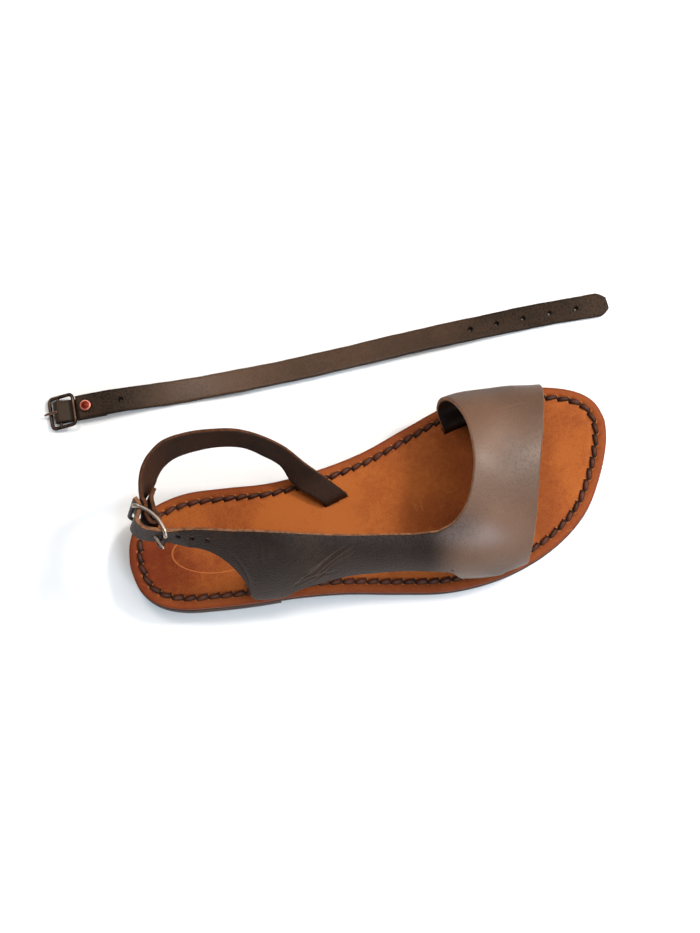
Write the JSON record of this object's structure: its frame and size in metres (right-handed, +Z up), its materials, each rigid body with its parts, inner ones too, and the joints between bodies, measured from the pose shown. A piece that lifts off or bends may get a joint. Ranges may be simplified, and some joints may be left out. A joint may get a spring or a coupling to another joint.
{
  "type": "sandal",
  "caption": "Flat open-toed leather sandal with a wide band over the toes, a buckled strap round the heel, a laced footbed edge and a loose ankle strap beside it.",
  "frame": {"origin": "on the floor, under the middle of the heel", "axes": "+X to the toe along the sole, +Y to the inner side of the foot, +Z up"},
  "size_m": [0.3063, 0.1531, 0.0624],
  "materials": {
    "sole_leather": "dark edge, worn smooth",
    "footbed_leather": "smooth, lightly waxed",
    "lace_leather": "matte",
    "upper_leather": "soft satin with light creases",
    "strap_leather": "flesh side, matte",
    "buckle_steel": "worn antique plating",
    "rivet_copper": "tarnished copper"
  },
  "bodies": {
    "sandal": {"heel_lift": "sole_leather", "outsole": "sole_leather", "insole": "footbed_leather", "edge_lace": "lace_leather", "upper": "upper_leather", "heel_strap": "strap_leather", "heel_buckle_frame": "buckle_steel", "heel_buckle_prong": "buckle_steel", "ankle_strap": "upper_leather", "ankle_chape": "strap_leather", "ankle_rivet": "rivet_copper", "ankle_buckle_frame": "buckle_steel"},
    "ankle_prong": {"ankle_buckle_prong": "buckle_steel"}
  },
  "joints": [
    {"name": "ankle_prong_hinge", "type": "hinge", "parent": "sandal", "child": "ankle_prong", "pos_m": [-0.0502, 0.09238, 0.0029], "axis": [0.0576, 0.9983, 0], "range_deg": [0, 110]}
  ]
}
